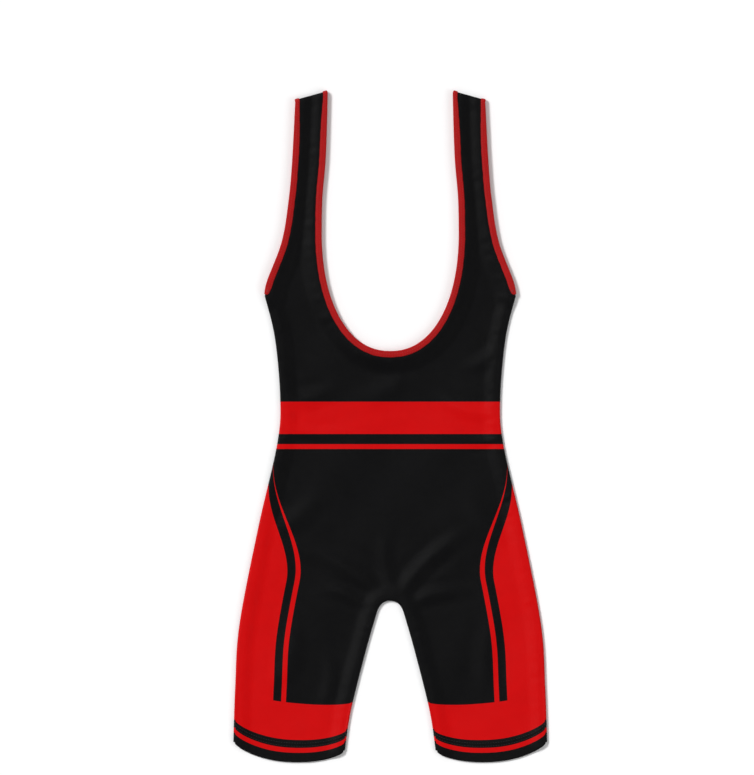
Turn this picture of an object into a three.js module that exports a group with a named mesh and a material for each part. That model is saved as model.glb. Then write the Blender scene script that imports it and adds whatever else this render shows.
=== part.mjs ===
// A wrestling singlet laid flat, front up: one front panel on one back panel, cut with the straps
// and legs in one piece and sewn together at the sides, inseams and shoulders. One binding strip
// runs round the neck and one round each armhole. Each binding is a folded channel that holds the
// panels' cut edges, and it folds over with the strap at the shoulder.
//
// Millimetres. +X to the left side of the body, +Y from the hems towards the straps, +Z up.
// The origin is on the surface the singlet lies on, under the middle of its outline.

import * as THREE from "three";

// ---- Driving sizes ----
const LENGTH = 874; // from the lowest point of the hems to the top of the straps
const CLOTH = 1.2; // wall of the two panels
const PLY = 1.0; // wall of the bindings
const GAP = 0.3; // between the pieces of a seam, and between two layers
const BINDING_WIDTH = 8.4; // what shows of a binding, from its fold to its lip
const BINDING_WIDTH_AT_SHOULDER = 6.2;
const BINDING_NARROWS_OVER = 60; // length of strap over which it narrows
const BINDING_LAYER_GAP = 0.6; // between the front and the back stretch of one binding

const CUT_INSET = GAP + PLY; // from the outside of a binding to the cut edge that it holds

// ---- Heights of the middle of each wall ----
const FLAT = { back: CLOTH / 2, front: CLOTH * 1.5 + GAP };
const SEAM_RISE = { back: 0, front: 2.3 }; // turned seam allowances lift the front
const BOUND_BACK = PLY + GAP + CLOTH / 2;
const BOUND_FRONT = BOUND_BACK + CLOTH + 2 * GAP + 2 * PLY + BINDING_LAYER_GAP;
const BOUND_RISE = { back: BOUND_BACK - FLAT.back, front: BOUND_FRONT - FLAT.front };
const SEAM_RIDGE = { level: 8, gone: 24 }; // distances from the seam
const BOUND_RIDGE = { level: 9, gone: 30 }; // distances from the cut edge

// ---- The cut of one half, x from the centre line and y up from the lowest point of the hem ----
const SIDE_SEAM = [
  { at: "hem", x: 204, y: 26.5 },
  { at: "lower thigh", x: 201.5, y: 100 },
  { at: "thigh", x: 196, y: 180 },
  { at: "hip", x: 171.5, y: 306 },
  { at: "below the waist", x: 147, y: 414 },
  { at: "waist", x: 143, y: 472 },
  { at: "chest", x: 150, y: 552 },
  { at: "underarm", x: 164, y: 609 },
];
const ARMHOLE = [
  { at: "underarm", x: 164, y: 609 },
  { at: "turn", x: 160, y: 627 },
  { at: "curve", x: 141, y: 678 },
  { at: "strap root", x: 132, y: 733 },
  { at: "strap", x: 127.5, y: 785 },
  { at: "shoulder", x: 123.5, y: 863 },
];
const INSEAM = [
  { at: "hem", x: 59, y: 15.5 },
  { at: "lower thigh", x: 51, y: 68 },
  { at: "upper thigh", x: 31.5, y: 146 },
  { at: "crotch", x: 18, y: 193 },
];
// The arch of the crotch goes on this far straight from the inseam, and this far straight at its top.
const CROTCH = { top: 210, leaves: 9.5, arrives: 11 };
// The scoop of the neck is half a superellipse, and the strap's inner edge goes on from its end.
const NECK = { halfWidth: 89, depth: 156, widestAt: 691, power: 2.2 };
const STRAP_INNER = [
  { at: "scoop", x: 89, y: 691 },
  { at: "strap root", x: 88, y: 735 },
  { at: "strap", x: 83.5, y: 790 },
  { at: "shoulder", x: 81, y: 874 },
];
// The hem bows down from its two corners to its lowest point, and the bow fades up the leg. The
// corners are rounded: their last rise comes close to the seam.
const HEM = { lowestAt: 0.42, power: 2.3, fadesOver: 90, cornerRise: 3.5, cornerPower: 16 };

// ---- Rows across a half panel. Each zone runs along an inner and an outer edge together ----
const ROWS = { leg: 13, body: 7, yoke: 1, chest: 9, strap: 9 };
const LEG_ROWS_CLOSE_UP = 1.7; // above 1, the rows of the leg get closer towards the crotch
const CREASE_AT_SIDE = 322; // where the row from the crotch meets the side seam
const YOKE = 9.2; // the last row under the neck lies this far below its cut edge
const YOKE_AT_SIDE = 466;
const NECK_ROW_AT_SIDE = 474; // where the row from the bottom of the neck meets the side seam
const UNDERARM_ON_NECK = 0.36; // share of the neck edge below the row to the underarm

// ---- Columns of a row, as distances from the edge at its end ----
const TURN_SLOPES = [45, 0]; // the last points of a seam, in degrees from upright
const INNER_SEAM_COLUMNS = [0, SEAM_RIDGE.level, 16, SEAM_RIDGE.gone];
const INNER_BOUND_COLUMNS = [0, 8.6, 16, 26];
const OUTER_SEAM_COLUMNS = [0, SEAM_RIDGE.level, SEAM_RIDGE.gone];
const OUTER_BOUND_COLUMNS = [0, 5, 8.6, 15, 26];
const HELD = 8.6; // the cloth is flat this far in from a cut edge, inside the binding and just past it
const RAMP_SHARE = 0.345; // the most of a short row that the slope beside a binding takes up
const MIDDLE_COLUMNS = [HEM.lowestAt, 0.6]; // shares of the row
const LEAST_ACROSS = 0.3; // the most slanted row counts as this share of its length

const radians = THREE.MathUtils.degToRad;
const mix = THREE.MathUtils.lerp;
const fade = (x, from, to) => 1 - THREE.MathUtils.smoothstep(x, from, to);
const vector = (x, y) => new THREE.Vector2(x, y);

// ---- Outlines ----
const SPLINE_STEPS = 240;
const ARCH_STEPS = 30;
const TANGENT_STEP = 0.004; // share of a path's length

// A path through dense points, read by its share of length.
function pathThrough(points) {
  const lengths = [0];
  for (let i = 1; i < points.length; i++) {
    lengths.push(lengths[i - 1] + points[i].distanceTo(points[i - 1]));
  }
  const total = lengths[lengths.length - 1];
  const at = (share) => {
    const wanted = THREE.MathUtils.clamp(share, 0, 1) * total;
    const found = lengths.findIndex((length) => length >= wanted);
    const i = Math.max(1, found < 0 ? points.length - 1 : found);
    const part = (wanted - lengths[i - 1]) / (lengths[i] - lengths[i - 1]);
    return points[i - 1].clone().lerp(points[i], part);
  };
  const way = (share) => at(share + TANGENT_STEP).sub(at(share - TANGENT_STEP)).normalize();
  const shareAtHeight = (y) => {
    const i = Math.max(1, points.findIndex((p) => p.y >= y));
    const part = (y - points[i - 1].y) / (points[i].y - points[i - 1].y);
    return mix(lengths[i - 1], lengths[i], part) / total;
  };
  return { at, way, shareAtHeight, points, total };
}

const spline = (table) =>
  new THREE.SplineCurve(table.map(({ x, y }) => vector(x, y))).getPoints(SPLINE_STEPS);

// The points moved sideways by a distance, to the right of the way they run.
function movedRight(points, distance) {
  return points.map((p, i) => {
    const before = points[Math.max(i - 1, 0)];
    const after = points[Math.min(i + 1, points.length - 1)];
    const way = after.clone().sub(before).normalize();
    return vector(p.x + way.y * distance, p.y - way.x * distance);
  });
}

function neckOutline() {
  const { halfWidth, depth, widestAt, power } = NECK;
  const scoop = Array.from({ length: SPLINE_STEPS + 1 }, (_, i) => {
    const angle = (Math.PI / 2) * (i / SPLINE_STEPS);
    const x = halfWidth * Math.sin(angle) ** (2 / power);
    return vector(x, widestAt - depth * Math.cos(angle) ** (2 / power));
  });
  return [...scoop, ...spline(STRAP_INNER).slice(1)];
}

// The inseam goes on, without a kink, as an arch to the top of the crotch on the centre line.
function inseamOutline() {
  const seam = spline(INSEAM);
  const [before, end] = seam.slice(-2);
  const way = end.clone().sub(before).normalize();
  const leaving = end.clone().addScaledVector(way, CROTCH.leaves);
  const arriving = vector(CROTCH.arrives, CROTCH.top);
  const arch = new THREE.CubicBezierCurve(end, leaving, arriving, vector(0, CROTCH.top));
  return [...seam, ...arch.getPoints(ARCH_STEPS).slice(1)];
}

const neckCut = movedRight(neckOutline(), CUT_INSET);
neckCut[0].x = 0;
const neck = pathThrough(neckCut);
const side = pathThrough(spline(SIDE_SEAM));
const armhole = pathThrough(movedRight(spline(ARMHOLE), -CUT_INSET));
const inseam = pathThrough(inseamOutline());

// The strap turns down along the line of its top edge.
const strapTop = { inner: STRAP_INNER.at(-1), outer: ARMHOLE.at(-1) };
const alongShoulder = vector(
  strapTop.outer.x - strapTop.inner.x,
  strapTop.outer.y - strapTop.inner.y,
).normalize();
const overShoulder = vector(-alongShoulder.y, alongShoulder.x);
const SHOULDER_RADIUS = (BOUND_FRONT - BOUND_BACK) / 2; // of the bindings' fold
const SHOULDER_TURN = CUT_INSET + CLOTH / 2 + SHOULDER_RADIUS;
const fromShoulder = (p) => -vector(p.x - strapTop.inner.x, p.y - strapTop.inner.y).dot(overShoulder);

// ---- Heights of the panels at a point of the cut ----
const nearest = (points, p) => Math.sqrt(Math.min(...points.map((q) => q.distanceToSquared(p))));

function heights(p) {
  const bound = fade(
    Math.min(nearest(neck.points, p), nearest(armhole.points, p)),
    BOUND_RIDGE.level,
    BOUND_RIDGE.gone,
  );
  const sewn = fade(
    Math.min(nearest(side.points, p), nearest(inseam.points, p), fromShoulder(p)),
    SEAM_RIDGE.level,
    SEAM_RIDGE.gone,
  );
  const level = (layer) =>
    FLAT[layer] + Math.max(SEAM_RISE[layer] * sewn, BOUND_RISE[layer] * bound);
  const front = level("front");
  const back = level("back");
  return { front, back, middle: (front + back) / 2, radius: (front - back) / 2 };
}

// ---- The grid of one half ----
// A point of the grid has its plan, the heights there, the slope of the wall's direction in
// degrees from the flat (90 is straight up or down), and the way that a turned edge faces.
const flatPoint = (plan) => ({ plan, level: heights(plan), slope: 90, outward: vector(0, 0) });

// The turned points of a sewn edge. The flat cloth ends where the turn starts.
function turnAt(edge, outward) {
  const level = heights(edge.clone().addScaledVector(outward, -SEAM_RIDGE.level / 2));
  const start = edge.clone().addScaledVector(outward, -(CLOTH / 2 + level.radius));
  const points = TURN_SLOPES.map((slope) => ({
    plan: start.clone().addScaledVector(outward, level.radius * Math.cos(radians(slope))),
    level,
    slope,
    outward,
  }));
  return { start, points };
}

// The columns at one end of a row, from the edge inwards. sign is 1 at the inner end.
function endColumns({ point, outward, kind }, columns, row, length, sign) {
  const across = Math.max(Math.abs(row.dot(outward)), LEAST_ACROSS);
  const place = (from, along) => flatPoint(from.clone().addScaledVector(row, sign * along));
  if (kind === "centre") return columns.map((d) => place(point, d));
  if (kind === "seam") {
    const { start, points } = turnAt(point, outward);
    return [...points.reverse(), ...columns.map((d) => place(start, d / across))];
  }
  const held = HELD / across;
  const farthest = Math.min(columns.at(-1) / across, length * RAMP_SHARE);
  const squeeze = (farthest - held) / (columns.at(-1) - HELD);
  return columns.map((d) => place(point, d <= HELD ? d / across : held + (d - HELD) * squeeze));
}

// How far a point of the row hangs below the straight line between the hem's corners.
function hemBow(p, inner, outer) {
  const share = THREE.MathUtils.clamp((p.x - inner.x) / (outer.x - inner.x), 0, 1);
  const [corner, span] =
    share < HEM.lowestAt ? [INSEAM[0].y, HEM.lowestAt] : [SIDE_SEAM[0].y, 1 - HEM.lowestAt];
  const part = Math.abs(share - HEM.lowestAt) / span;
  const bow = (corner - HEM.cornerRise) * part ** HEM.power;
  const height = bow + HEM.cornerRise * part ** HEM.cornerPower;
  const straight = mix(INSEAM[0].y, SIDE_SEAM[0].y, share);
  return (straight - height) * fade(inner.y - INSEAM[0].y, 0, HEM.fadesOver);
}

function rowBetween(inner, outer) {
  const span = outer.point.clone().sub(inner.point);
  const length = span.length();
  const row = span.clone().normalize();
  const innerColumns = inner.kind === "bound" ? INNER_BOUND_COLUMNS : INNER_SEAM_COLUMNS;
  const outerColumns = outer.kind === "bound" ? OUTER_BOUND_COLUMNS : OUTER_SEAM_COLUMNS;
  const points = [
    ...endColumns(inner, innerColumns, row, length, 1),
    ...MIDDLE_COLUMNS.map((share) => flatPoint(inner.point.clone().addScaledVector(span, share))),
    ...endColumns(outer, outerColumns, row, length, -1).reverse(),
  ];
  for (const q of points) q.plan.y -= hemBow(q.plan, inner.point, outer.point);
  return points;
}

// The end of a row: a point of a path, and the way out of the cloth there.
function rowEnd({ path, from, to, kind, outwardIs }, t) {
  const share = mix(from, to, t);
  const point = path.at(share);
  const way = path.way(share);
  const outward = vector(way.y, -way.x).multiplyScalar(outwardIs === "right" ? 1 : -1);
  if (point.x === 0) outward.set(0, Math.sign(outward.y));
  return { point, outward, kind };
}

function zoneRows({ rows, inner, outer, closeUp = 1, includeLast = false }) {
  return Array.from({ length: includeLast ? rows + 1 : rows }, (_, i) => {
    const t = 1 - (1 - i / rows) ** closeUp;
    return rowBetween(rowEnd(inner, t), rowEnd(outer, t));
  });
}

const crease = side.shareAtHeight(CREASE_AT_SIDE);
const yoke = side.shareAtHeight(YOKE_AT_SIDE);
const neckRow = side.shareAtHeight(NECK_ROW_AT_SIDE);
const outerSeam = { path: side, kind: "seam", outwardIs: "right" };
const innerBound = { path: neck, kind: "bound", outwardIs: "left" };
const strapEnd = (path) => 1 - SHOULDER_TURN / path.total;

const legRows = zoneRows({
  rows: ROWS.leg,
  closeUp: LEG_ROWS_CLOSE_UP,
  inner: { path: inseam, from: 0, to: 1, kind: "seam", outwardIs: "left" },
  outer: { ...outerSeam, from: 0, to: crease },
  includeLast: true,
});

// The row from the crotch is shared. Above it there are no turned points at the centre.
const TURNED = TURN_SLOPES.length;
const crotchRow = legRows.at(-1).slice(TURNED);
const centre = pathThrough([crotchRow[0].plan, neckCut[0]]);
const yokeAtCentre = 1 - YOKE / centre.total;
const alongCentre = { path: centre, kind: "centre", outwardIs: "left" };

const bodyRows = zoneRows({
  rows: ROWS.body,
  inner: { ...alongCentre, from: 0, to: yokeAtCentre },
  outer: { ...outerSeam, from: crease, to: yoke },
}).slice(1);
const yokeRows = zoneRows({
  rows: ROWS.yoke,
  inner: { ...alongCentre, from: yokeAtCentre, to: 1 },
  outer: { ...outerSeam, from: yoke, to: neckRow },
});
const chestRows = zoneRows({
  rows: ROWS.chest,
  inner: { ...innerBound, from: 0, to: UNDERARM_ON_NECK },
  outer: { ...outerSeam, from: neckRow, to: 1 },
});
const strapRows = zoneRows({
  rows: ROWS.strap,
  inner: { ...innerBound, from: UNDERARM_ON_NECK, to: strapEnd(neck) },
  outer: { path: armhole, from: 0, to: strapEnd(armhole), kind: "bound", outwardIs: "right" },
  includeLast: true,
});
// The tightest part of the shoulder's fold reaches as far as the rest, so its edge is straight.
const shoulderRows = TURN_SLOPES.map((slope) =>
  strapRows.at(-1).map(({ plan, level }) => {
    const reach = SHOULDER_RADIUS - level.radius * (1 - Math.cos(radians(slope)));
    return { plan: plan.clone().addScaledVector(overShoulder, reach), level, slope, outward: overShoulder };
  }),
);

const joinedRows = [crotchRow, ...bodyRows, ...yokeRows]; // joined to the other half
const upperRows = [...joinedRows, ...chestRows, ...strapRows, ...shoulderRows];
const FIRST_CHEST_ROW = joinedRows.length;
const UNDERARM_ROW = FIRST_CHEST_ROW + chestRows.length;
const OUTER_COLUMN = crotchRow.length - 1;

// ---- From the grid to space ----
// The middle of a layer's wall, and its direction away from the other layer.
function wallAt({ plan, level, slope, outward }, layer) {
  const up = layer === "front" ? 1 : -1;
  const sin = Math.sin(radians(slope));
  const cos = Math.cos(radians(slope));
  const turned = level.middle + up * Math.max(level.radius * sin, GAP / 2);
  return {
    middle: new THREE.Vector3(plan.x, plan.y - LENGTH / 2, slope < 90 ? turned : level[layer]),
    away: new THREE.Vector3(outward.x * cos, outward.y * cos, up * sin),
  };
}

const mirrored = (v) => new THREE.Vector3(-v.x, v.y, v.z);
const flipped = (triangles) => triangles.map(([a, b, c]) => [a, c, b]);

function geometryOf(triangles) {
  const positions = triangles.flat().flatMap((v) => [v.x, v.y, v.z]);
  const geometry = new THREE.BufferGeometry();
  geometry.setAttribute("position", new THREE.Float32BufferAttribute(positions, 3));
  geometry.computeVertexNormals();
  return geometry;
}

// ---- A panel: both halves of the grid as a wall, closed along its free edges ----
function wallBlock(rows, layer, { openInner, openFirst, openLast }) {
  const wall = rows.map((row) =>
    row.map((q) => {
      const { middle, away } = wallAt(q, layer);
      const face = (s) => middle.clone().addScaledVector(away, (s * CLOTH) / 2);
      return { outside: face(1), inside: face(-1) };
    }),
  );
  const triangles = [];
  const quad = (a, b, c, d) => triangles.push([a, b, c], [a, c, d]);
  const rim = (a, b) => quad(a.outside, a.inside, b.inside, b.outside);
  const lastRow = wall.length - 1;
  const lastColumn = wall[0].length - 1;
  for (let r = 0; r < lastRow; r++) {
    for (let c = 0; c < lastColumn; c++) {
      const [a, b, d, e] = [wall[r][c], wall[r][c + 1], wall[r + 1][c], wall[r + 1][c + 1]];
      quad(a.outside, b.outside, e.outside, d.outside);
      quad(a.inside, d.inside, e.inside, b.inside);
    }
    if (openInner(r)) rim(wall[r + 1][0], wall[r][0]);
    rim(wall[r][lastColumn], wall[r + 1][lastColumn]);
  }
  for (let c = 0; c < lastColumn; c++) {
    if (openFirst) rim(wall[0][c], wall[0][c + 1]);
    if (openLast) rim(wall[lastRow][c + 1], wall[lastRow][c]);
  }
  return triangles;
}

function panelGeometry(layer) {
  const leg = wallBlock(legRows, layer, {
    openInner: () => true,
    openFirst: true,
    openLast: false,
  });
  const upper = wallBlock(upperRows, layer, {
    openInner: (r) => r >= FIRST_CHEST_ROW,
    openFirst: false,
    openLast: true,
  });
  const half = [...leg, ...upper];
  const both = [...half, ...flipped(half.map((triangle) => triangle.map(mirrored)))];
  return geometryOf(layer === "front" ? both : flipped(both));
}

// ---- A binding: a folded strip swept along a cut edge, up the front and down the back ----
// The corners of its section: how far into the cloth from the cut edge, and how far away from
// the middle of the cloth.
function bindingSection(lip) {
  const inner = CLOTH / 2 + GAP;
  const outer = inner + PLY;
  return [
    [lip, outer],
    [-CUT_INSET, outer],
    [-CUT_INSET, -outer],
    [lip, -outer],
    [lip, -inner],
    [-GAP, -inner],
    [-GAP, inner],
    [lip, inner],
  ];
}

// The stations of one layer's stretch, from the first row up to the fold at the shoulder.
// intoCloth is the direction in which the cloth's columns run from its edge, 1 or -1.
function edgeStations({ column, firstRow, intoCloth }, layer) {
  const rows = upperRows.slice(firstRow);
  const lastFlat = rows.length - 1 - TURNED;
  return rows.map((row, i) => {
    const q = row[column];
    const before = rows[Math.max(i - 1, 0)][column].plan;
    const after = rows[Math.min(i + 1, lastFlat)][column].plan;
    const way = after.clone().sub(before).normalize();
    const into = vector(way.y, -way.x).multiplyScalar(intoCloth);
    if (i >= lastFlat) into.copy(alongShoulder).multiplyScalar(intoCloth);
    if (i === 0) into.copy(row[column + intoCloth].plan).sub(q.plan).normalize();
    if (q.plan.x === 0) into.set(0, -1);
    const { middle, away } = wallAt(q, layer);
    if (i === rows.length - 1) middle.z = q.level.middle;
    const narrow = fade(fromShoulder(q.plan), 0, BINDING_NARROWS_OVER);
    const width = mix(BINDING_WIDTH, BINDING_WIDTH_AT_SHOULDER, narrow);
    return { middle, away, into: new THREE.Vector3(into.x, into.y, 0), lip: width - CUT_INSET };
  });
}

function frontThenBack(edge) {
  const back = edgeStations(edge, "back").slice(0, -1).reverse();
  return [...edgeStations(edge, "front"), ...back];
}

const mirroredStation = ({ middle, away, into, lip }) => ({
  middle: mirrored(middle),
  away: mirrored(away),
  into: mirrored(into),
  lip,
});

const sectionAt = ({ middle, away, into, lip }) =>
  bindingSection(lip).map(([along, out]) =>
    middle.clone().addScaledVector(into, along).addScaledVector(away, out),
  );

function sweep(stations, isRing) {
  const sections = stations.map(sectionAt);
  const triangles = [];
  const steps = isRing ? sections.length : sections.length - 1;
  for (let s = 0; s < steps; s++) {
    const [a, b] = [sections[s], sections[(s + 1) % sections.length]];
    for (let i = 0; i < a.length; i++) {
      const j = (i + 1) % a.length;
      triangles.push([a[i], a[j], b[j]], [a[i], b[j], b[i]]);
    }
  }
  if (!isRing) {
    const corners = bindingSection(BINDING_WIDTH).map(([x, y]) => vector(x, y));
    for (const [i, j, k] of THREE.ShapeUtils.triangulateShape(corners, [])) {
      triangles.push([sections[0][i], sections[0][k], sections[0][j]]);
      triangles.push([sections.at(-1)[i], sections.at(-1)[j], sections.at(-1)[k]]);
    }
  }
  const volume = triangles.reduce((sum, [a, b, c]) => sum + a.dot(b.clone().cross(c)), 0);
  return geometryOf(volume > 0 ? triangles : flipped(triangles));
}

// The neck binding is a ring: up the left front and down the left back, then up the right back
// and down the right front.
function neckBindingGeometry() {
  const left = frontThenBack({ column: 0, firstRow: FIRST_CHEST_ROW, intoCloth: 1 });
  const right = left.slice(1, -1).reverse().map(mirroredStation);
  return sweep([...left, ...right], true);
}

// An armhole binding has both its ends at the side seam.
function armholeBindingGeometry(isLeft) {
  const left = frontThenBack({ column: OUTER_COLUMN, firstRow: UNDERARM_ROW, intoCloth: -1 });
  return sweep(isLeft ? left : left.map(mirroredStation), false);
}

// ---- The object ----
const knit = new THREE.MeshStandardMaterial({ color: 0x0b0b0c, roughness: 0.62, metalness: 0 });
const tape = new THREE.MeshStandardMaterial({ color: 0xa61415, roughness: 0.6, metalness: 0 });

const pieces = [
  { name: "front_panel", geometry: panelGeometry("front"), material: knit },
  { name: "back_panel", geometry: panelGeometry("back"), material: knit },
  { name: "neck_binding", geometry: neckBindingGeometry(), material: tape },
  { name: "armhole_binding_left", geometry: armholeBindingGeometry(true), material: tape },
  { name: "armhole_binding_right", geometry: armholeBindingGeometry(false), material: tape },
];

const singlet = new THREE.Group();
for (const { name, geometry, material } of pieces) {
  const mesh = new THREE.Mesh(geometry, material);
  mesh.name = name;
  singlet.add(mesh);
}

export default singlet;
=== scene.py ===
"""A black wrestling singlet with dark red bindings and printed red stripes, laid flat, front up.

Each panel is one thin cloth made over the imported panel's form, with its hems folded in and its
side, inseam, crotch and shoulder edges turned to meet the other panel. The bindings are folded
tapes swept along the cut edges. Metres, in the part's own frame: +X to the left side of the body,
+Y towards the straps, +Z up from the surface that the singlet lies on.
"""

import math

import bmesh
import bpy
import numpy as np
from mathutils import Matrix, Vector


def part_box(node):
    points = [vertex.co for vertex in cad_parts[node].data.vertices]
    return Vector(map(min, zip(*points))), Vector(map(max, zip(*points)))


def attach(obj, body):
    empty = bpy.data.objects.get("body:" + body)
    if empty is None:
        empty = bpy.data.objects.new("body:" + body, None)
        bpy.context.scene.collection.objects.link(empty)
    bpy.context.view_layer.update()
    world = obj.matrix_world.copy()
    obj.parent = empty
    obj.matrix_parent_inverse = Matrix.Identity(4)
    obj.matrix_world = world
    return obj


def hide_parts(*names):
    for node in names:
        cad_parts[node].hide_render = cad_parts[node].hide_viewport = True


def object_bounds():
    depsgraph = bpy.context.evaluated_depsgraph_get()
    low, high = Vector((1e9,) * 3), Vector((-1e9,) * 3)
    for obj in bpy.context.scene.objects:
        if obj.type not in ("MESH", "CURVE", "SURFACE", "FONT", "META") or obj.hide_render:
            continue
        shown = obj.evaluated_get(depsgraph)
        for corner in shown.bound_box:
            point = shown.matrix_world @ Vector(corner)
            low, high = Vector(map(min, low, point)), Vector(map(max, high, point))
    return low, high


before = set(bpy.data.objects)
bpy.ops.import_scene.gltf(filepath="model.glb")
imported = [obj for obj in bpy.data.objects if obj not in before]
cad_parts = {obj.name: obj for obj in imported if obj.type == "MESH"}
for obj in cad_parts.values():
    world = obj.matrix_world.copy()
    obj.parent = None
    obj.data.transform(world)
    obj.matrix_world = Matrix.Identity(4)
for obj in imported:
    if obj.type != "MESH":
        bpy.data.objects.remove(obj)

CAD_LOW, CAD_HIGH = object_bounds()

# ---- Sizes read from the frame ----
HEM_Y = CAD_LOW.y  # the lowest point of the hems, from which the cut is measured
FRONT_LOW, FRONT_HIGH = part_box("front_panel")
PACKED_WALL = 0.0012
FLAT = {"back": PACKED_WALL / 2, "front": FRONT_LOW.z + PACKED_WALL / 2}

# ---- Sizes of the cut edges and seams ----
GAP = 0.0003  # between two pieces
PLY = 0.001  # of a binding
CUT_INSET = GAP + PLY  # from the outside of a binding to the cut edge in it
BOUND = {"back": CUT_INSET + PACKED_WALL / 2, "front": FRONT_HIGH.z - PACKED_WALL / 2}
SEAM_RISE = {"back": 0.0, "front": 0.0023}
SEAM_RIDGE = (0.008, 0.024)  # the front is level up to here, and flat from here on
BOUND_RIDGE = (0.009, 0.030)
BINDING_WIDTH = 0.0084
BINDING_WIDTH_AT_SHOULDER = 0.0062
BINDING_NARROWS_OVER = 0.060
TAPER, TAPER_OVER = 0.0042, 0.009  # of the armhole bindings' ends at the underarms
TAPE_WAVES = ((0.0118, 0.3, 0.4), (0.0173, 1.9, 0.35), (0.041, 4.0, 0.25))  # pitch, phase, size
TAPE_UNEVEN, TAPE_THINS = 0.00022, 0.035

# ---- The cloth ----
CLOTH = 0.0006
# Its faces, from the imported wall's middle.
OUTSIDE, INSIDE = PACKED_WALL / 2, PACKED_WALL / 2 - CLOTH
HEM_ALLOWANCE = 0.0265
HEM_FOLD = (0.00003, 0.00003 + CLOTH)  # radii of the fold's two faces
HEM_FOLD_AT = INSIDE - HEM_FOLD[0]

# ---- The lie of the cloth ----
# Beside an edge: the pitches and phase of its waves, their height, and how far off they lie.
BOUND_PUCKERS = ((0.0132, 0.0187, 0.0291), 0.9, 0.00042, (0.0072, 0.026))
SEWN_PUCKERS = ((0.0155, 0.0233, 0.0107), 1.7, 0.00036, (0.003, 0.021))
PUCKERS = {"neck": BOUND_PUCKERS, "arm": BOUND_PUCKERS, "side": SEWN_PUCKERS, "crotch": SEWN_PUCKERS}
FOLD_BEND = 0.006
CALM_BY_BINDING, CALM_BY_SEAM, CALM_BY_SHOULDER = (0.0085, 0.026), (0.004, 0.022), (0.006, 0.03)
CALM_ON_HEM = (HEM_ALLOWANCE - 0.002, HEM_ALLOWANCE + 0.03)
BACK_SLACK, BACK_LEVEL_BY_BINDING = 0.5, (0.03, 0.034)
HEM_STEP = 0.00035  # the front sinks by this much above the turned-in hem
HEM_STEP_AT, HEM_STEP_FADES = (HEM_ALLOWANCE - 0.0006, HEM_ALLOWANCE + 0.0022), (0.05, 0.12)
ROPING, ROPING_PITCH, ROPING_SLANT = 0.00006, 0.0079, 0.55  # slanted waves of the turned-in hem
GROOVE, GROOVE_WIDTH, BACK_GROOVE = 0.00009, 0.0009, 0.00005  # under the hem's stitches

# ---- The cut of one half: x from the centre line, y up from the lowest point of the hem ----
SIDE_SEAM = [
    ("hem", 0.204, 0.0265),
    ("lower thigh", 0.2015, 0.100),
    ("thigh", 0.196, 0.180),
    ("hip", 0.1715, 0.306),
    ("below the waist", 0.147, 0.414),
    ("waist", 0.143, 0.472),
    ("chest", 0.150, 0.552),
    ("underarm", 0.164, 0.609),
]
ARMHOLE = [
    ("underarm", 0.164, 0.609),
    ("turn", 0.160, 0.627),
    ("curve", 0.141, 0.678),
    ("strap root", 0.132, 0.733),
    ("strap", 0.1275, 0.785),
    ("shoulder", 0.1235, 0.863),
]
INSEAM = [
    ("hem", 0.059, 0.0155),
    ("lower thigh", 0.051, 0.068),
    ("upper thigh", 0.0315, 0.146),
    ("crotch", 0.018, 0.193),
]
# The arch of the crotch goes on straight from the inseam, and reaches its top level.
CROTCH_TOP, ARCH_LEAVES, ARCH_ARRIVES = 0.210, 0.0095, 0.011
NECK_HALF_WIDTH, NECK_DEPTH, NECK_WIDEST_AT, NECK_POWER = 0.089, 0.156, 0.691, 2.2
STRAP_INNER = [
    ("scoop", 0.089, 0.691),
    ("strap root", 0.088, 0.735),
    ("strap", 0.0835, 0.790),
    ("shoulder", 0.081, 0.874),
]
HEM_LOWEST_AT, HEM_POWER = 0.42, 2.3
HEM_CORNER_RISE, HEM_CORNER_POWER = 0.0035, 16  # the rounding of the hem's corners
HEM_BOW_FADES = (0.020, 0.110)

# ---- Rows and columns of the fine cloth ----
HEM_ROWS, LEG_ROWS, BODY_ROWS, CHEST_ROWS, STRAP_ROWS = 31, 90, 88, 46, 72
HEM_ROWS_REACH = 0.0287  # past the turned-in hem and its step
FLAT_COLUMNS = 50
TURN_SLOPES = np.radians([74, 58, 42, 28, 14, 0])
CREASE_AT_SIDE = 0.322
NECK_ROW_AT_SIDE = 0.474
UNDERARM_ON_NECK = 0.36
EDGE_CROWDING = 0.35  # how much closer the columns are at a row's ends
EDGE_COLUMNS_REACH = 0.0026  # of the last columns at a bound edge
HEM_FOLD_ANGLES = np.radians([-90, -60, -30, 0, 30, 60])
HEM_SLANT = 0.985  # height over distance, across the turned-in hem in the map
MAP_SCALE, MAP_MARGIN = 1 / 0.96, 0.04  # of the panels' map, with the outside beside the inside
NOT_PRINTED, FAR_ABOVE_HEM = -1.0, 1.0  # in place of the distance above the hem

# ---- The printed stripes ----
HOOP = (0.427, 0.469)
HOOP_LINE = (0.4075, 0.4138)
CUFF_BAND = (0.029, 0.068)
CUFF_LINE = (0.0125, 0.019)
SIDE_PANEL_WIDTH = 0.050
SIDE_PANEL_FROM, SIDE_PANEL_FULL_AT = 0.372, 0.235
SIDE_LINE = (0.0605, 0.0668)
SIDE_LINE_FROM = 0.398

# ---- Threads ----
THREAD = 0.00019  # radius
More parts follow.
